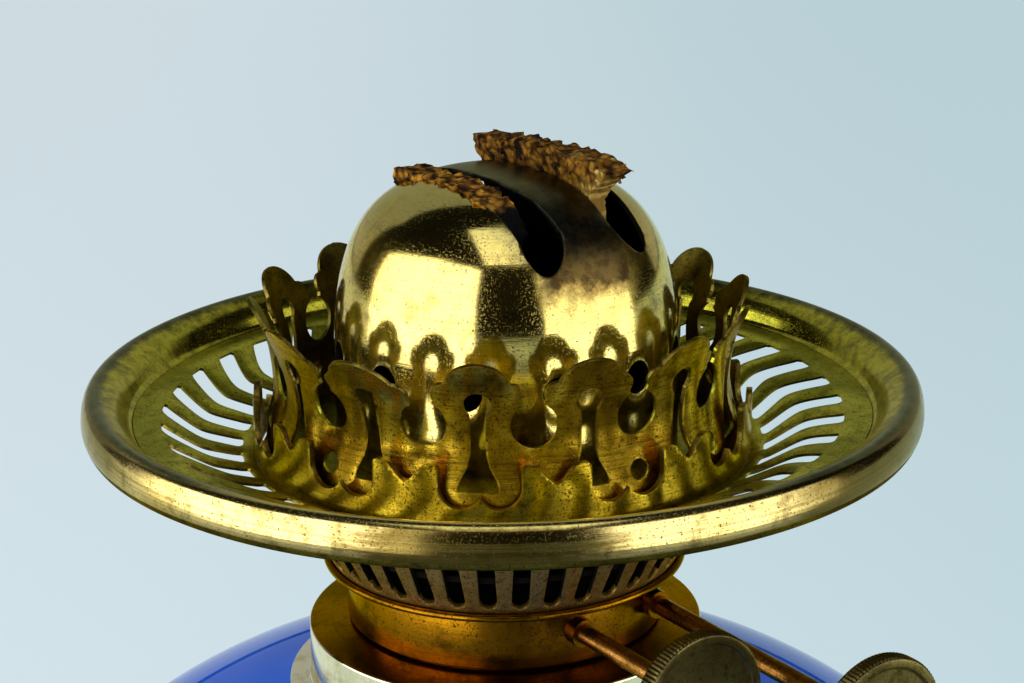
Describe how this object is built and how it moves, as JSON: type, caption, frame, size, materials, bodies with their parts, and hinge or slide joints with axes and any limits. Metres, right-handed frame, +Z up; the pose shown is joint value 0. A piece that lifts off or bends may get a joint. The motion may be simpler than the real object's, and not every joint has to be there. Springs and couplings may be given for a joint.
{
  "type": "oil lamp",
  "caption": "Table oil lamp with a twin flat-wick burner, fretted chimney coronet, pierced shade pan, disc winders and a blue glass fount on a turned brass foot",
  "frame": {"origin": "centre of the underside of the foot", "axes": "+Z up along the lamp's axis, +X along the winder shafts towards the knobs, +Y to the back"},
  "size_m": [0.152, 0.152, 0.2501],
  "materials": {
    "stand_brass": "polished",
    "iron": "rough casting",
    "steel": "dull zinc",
    "plaster": "matte",
    "blue_glass": "glossy cobalt",
    "pale_brass": "polished",
    "amber_brass": "amber lacquer",
    "aged_brass": "tarnished sheet",
    "dome_brass": "polished, heat stained",
    "copper_brass": "worn",
    "dark_bronze": "dark patina",
    "cotton": "woven, charred at the top"
  },
  "bodies": {
    "stand": {"base_plate": "stand_brass", "base_foot": "stand_brass", "ballast": "iron", "column": "stand_brass", "fount_cup": "stand_brass", "tie_rod": "steel", "rod_washer": "steel", "rod_nut_lower": "steel", "rod_nut_upper": "steel", "cup_plaster": "plaster", "glass_fount": "blue_glass", "collar": "pale_brass", "collar_plaster": "plaster"},
    "burner": {"burner_cup": "amber_brass", "burner_floor": "amber_brass", "air_band": "amber_brass", "bead_ring": "pale_brass", "diffuser": "amber_brass", "wick_tube_a": "aged_brass", "wick_tube_b": "aged_brass", "winder_bush_a": "amber_brass", "winder_bush_b": "amber_brass", "bearing_plate": "amber_brass"},
    "first_winder": {"winder_shaft_a": "copper_brass", "spur_wheels_a": "aged_brass", "winder_knob_a": "dark_bronze"},
    "second_winder": {"winder_shaft_b": "copper_brass", "spur_wheels_b": "aged_brass", "winder_knob_b": "dark_bronze"},
    "first_wick": {"wick_a": "cotton"},
    "second_wick": {"wick_b": "cotton"},
    "gallery": {"gallery_pan": "aged_brass", "gallery_ring": "aged_brass", "coronet": "aged_brass", "dome": "dome_brass"}
  },
  "joints": [
    {"name": "burner_turn", "type": "hinge", "parent": "stand", "child": "burner", "pos_m": [0, 0, 0.1853], "axis": [0, 0, 1], "range_deg": [0, 30]},
    {"name": "gallery_lift", "type": "slide", "parent": "burner", "child": "gallery", "axis": [0, 0, 1], "range_m": [0, 0.06]},
    {"name": "first_winder_turn", "type": "hinge", "parent": "burner", "child": "first_winder", "pos_m": [0.03, -0.00275, 0.19009], "axis": [1, 0, 0], "range_deg": [-80, 160]},
    {"name": "second_winder_turn", "type": "hinge", "parent": "burner", "child": "second_winder", "pos_m": [0.03, 0.01085, 0.19009], "axis": [1, 0, 0], "range_deg": [-80, 160]},
    {"name": "first_wick_rise", "type": "slide", "parent": "burner", "child": "first_wick", "axis": [0, 0, 1], "range_m": [-0.00784, 0.00379]},
    {"name": "second_wick_rise", "type": "slide", "parent": "burner", "child": "second_wick", "axis": [0, 0, 1], "range_m": [-0.00784, 0.00379]}
  ],
  "couplings": [
    {"joint": "first_winder_turn", "follows": "first_wick_rise", "rad_per_m": -344.83},
    {"joint": "second_winder_turn", "follows": "second_wick_rise", "rad_per_m": -344.83}
  ]
}
